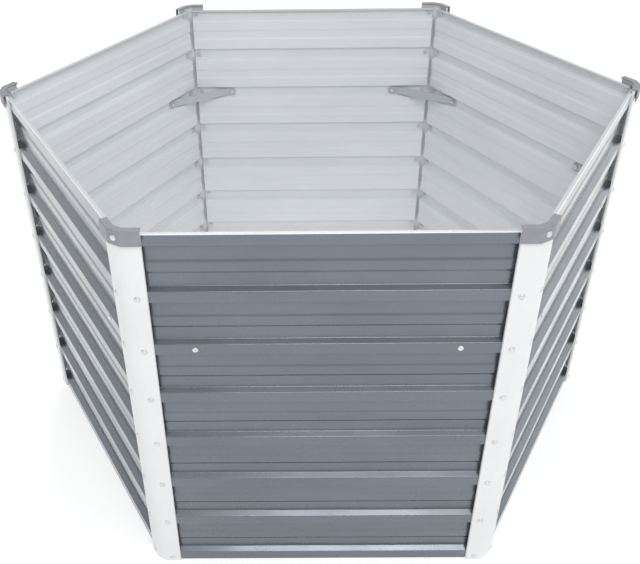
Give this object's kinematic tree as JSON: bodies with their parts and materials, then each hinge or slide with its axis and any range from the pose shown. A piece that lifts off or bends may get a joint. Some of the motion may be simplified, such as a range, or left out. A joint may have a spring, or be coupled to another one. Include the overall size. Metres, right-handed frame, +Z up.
{
  "type": "raised_garden_bed",
  "caption": "Raised garden bed of ribbed steel panels with white corner posts, grey corner caps and flat braces, open at the top and bottom",
  "frame": {"origin": "centre of the footprint, on the ground", "axes": "+Z up, -Y towards the front panel, +X to the right across two opposite corners"},
  "size_m": [1.2956, 1.1296, 0.768],
  "materials": {
    "panel_steel": "silver grey coated corrugated steel sheet, satin",
    "post_coat": "off-white powder coat on bent sheet, satin",
    "cap_plastic": "moulded grey plastic with a fine matt grain",
    "brace_steel": "grey coated flat steel strap, satin",
    "bolt_zinc": "bright zinc plate"
  },
  "bodies": {
    "root": {"panel_front": "panel_steel", "panel_front_right": "panel_steel", "panel_back_right": "panel_steel", "panel_back": "panel_steel", "panel_back_left": "panel_steel", "panel_front_left": "panel_steel", "post_front_right": "post_coat", "post_right": "post_coat", "post_back_right": "post_coat", "post_back_left": "post_coat", "post_left": "post_coat", "post_front_left": "post_coat", "corner_caps": "cap_plastic", "brace_front_right": "brace_steel", "brace_right": "brace_steel", "brace_back_right": "brace_steel", "brace_back_left": "brace_steel", "brace_left": "brace_steel", "brace_front_left": "brace_steel", "post_bolts": "bolt_zinc", "post_nuts": "bolt_zinc", "brace_bolts": "bolt_zinc", "brace_nuts": "bolt_zinc", "cap_screws": "bolt_zinc"}
  },
  "joints": []
}
